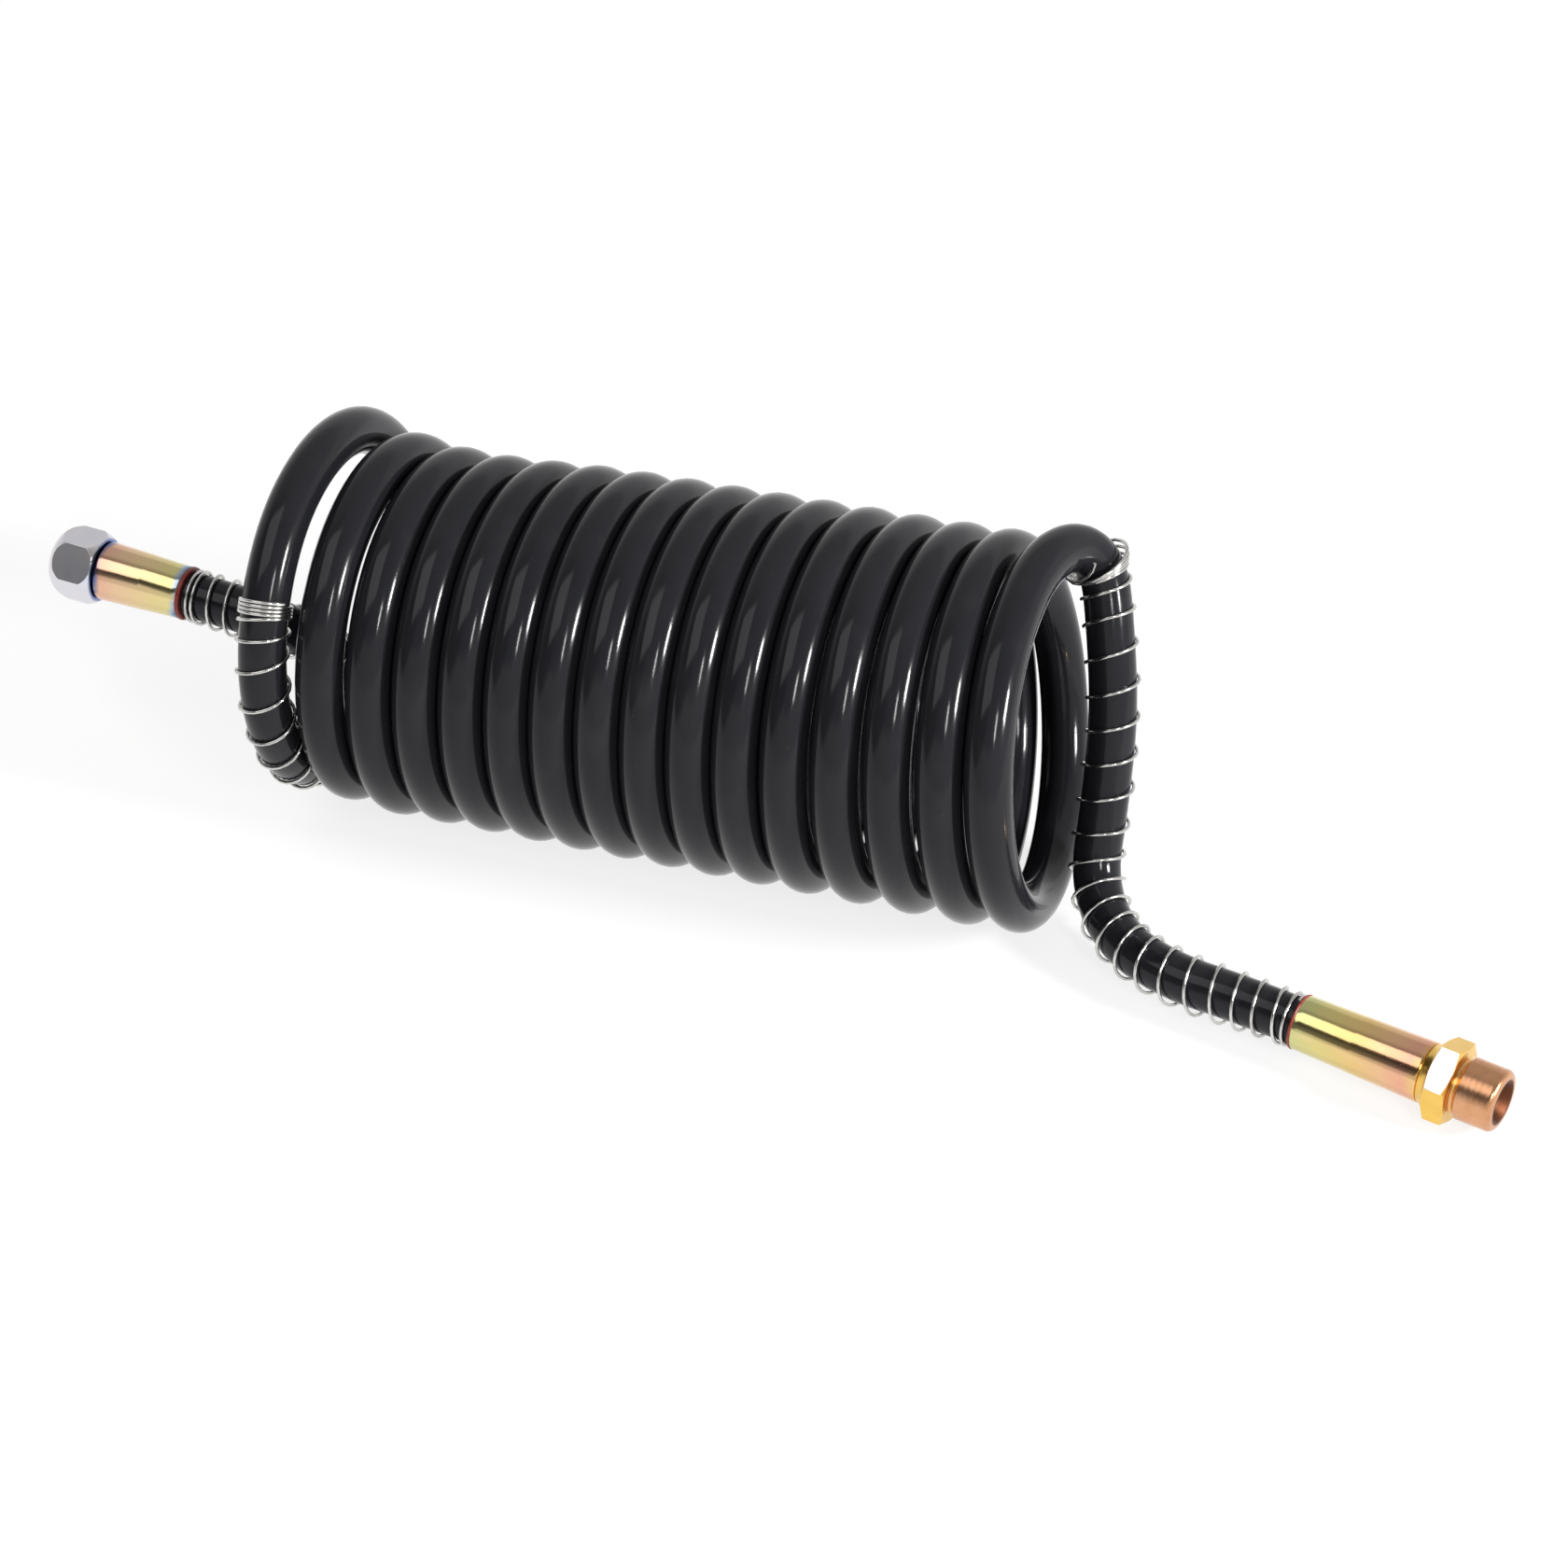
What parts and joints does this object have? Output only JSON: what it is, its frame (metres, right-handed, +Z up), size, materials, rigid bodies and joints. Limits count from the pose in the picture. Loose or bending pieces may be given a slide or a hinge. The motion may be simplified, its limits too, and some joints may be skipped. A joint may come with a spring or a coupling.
{
  "type": "coiled pneumatic hose assembly",
  "caption": "Self-coiling air hose with two wire-guarded tails, a female swivel union nut at one end and a male threaded stud at the other.",
  "frame": {"origin": "middle of the assembly's bounding box, on the surface that the coil and the male stud lie on", "axes": "+X along the coil's axis from the union nut end to the male stud end, +Z up, +Y away from the side that the male stud turns to"},
  "size_m": [0.399, 0.1124, 0.1022],
  "materials": {
    "polyamide_tube": "smooth glossy extruded polyamide",
    "guard_wire": "bright drawn spring wire",
    "yellow_zinc": "yellow chromated zinc with rainbow tints",
    "red_ring": "satin moulded plastic",
    "stem_brass": "turned brass",
    "washer_rubber": "flat black rubber",
    "clear_zinc": "clear passivated zinc",
    "stud_brass": "turned brass with a coppery thread"
  },
  "bodies": {
    "left_end": {"hose_coil": "polyamide_tube", "hose_tail_left": "polyamide_tube", "spring_guard_left": "guard_wire", "ferrule_left": "yellow_zinc", "mouth_ring_left": "red_ring", "stem_left": "stem_brass", "sealing_washer": "washer_rubber"},
    "union_nut": {"union_nut": "clear_zinc"},
    "right_end": {"hose_tail_right": "polyamide_tube", "spring_guard_right": "guard_wire", "ferrule_right": "yellow_zinc", "mouth_ring_right": "red_ring", "male_stud": "stud_brass"}
  },
  "joints": [
    {"name": "coil_stretch", "type": "slide", "parent": "left_end", "child": "right_end", "axis": [1, 0, 0], "range_m": [0, 2.2], "stiffness_N_per_m": 12, "springref_m": -0.2, "deforming": ["hose_coil"]},
    {"name": "nut_swivel", "type": "hinge", "parent": "left_end", "child": "union_nut", "pos_m": [-0.18846, 0.01235, 0.044], "axis": [-0.9914, 0.1305, 0], "continuous": true}
  ]
}
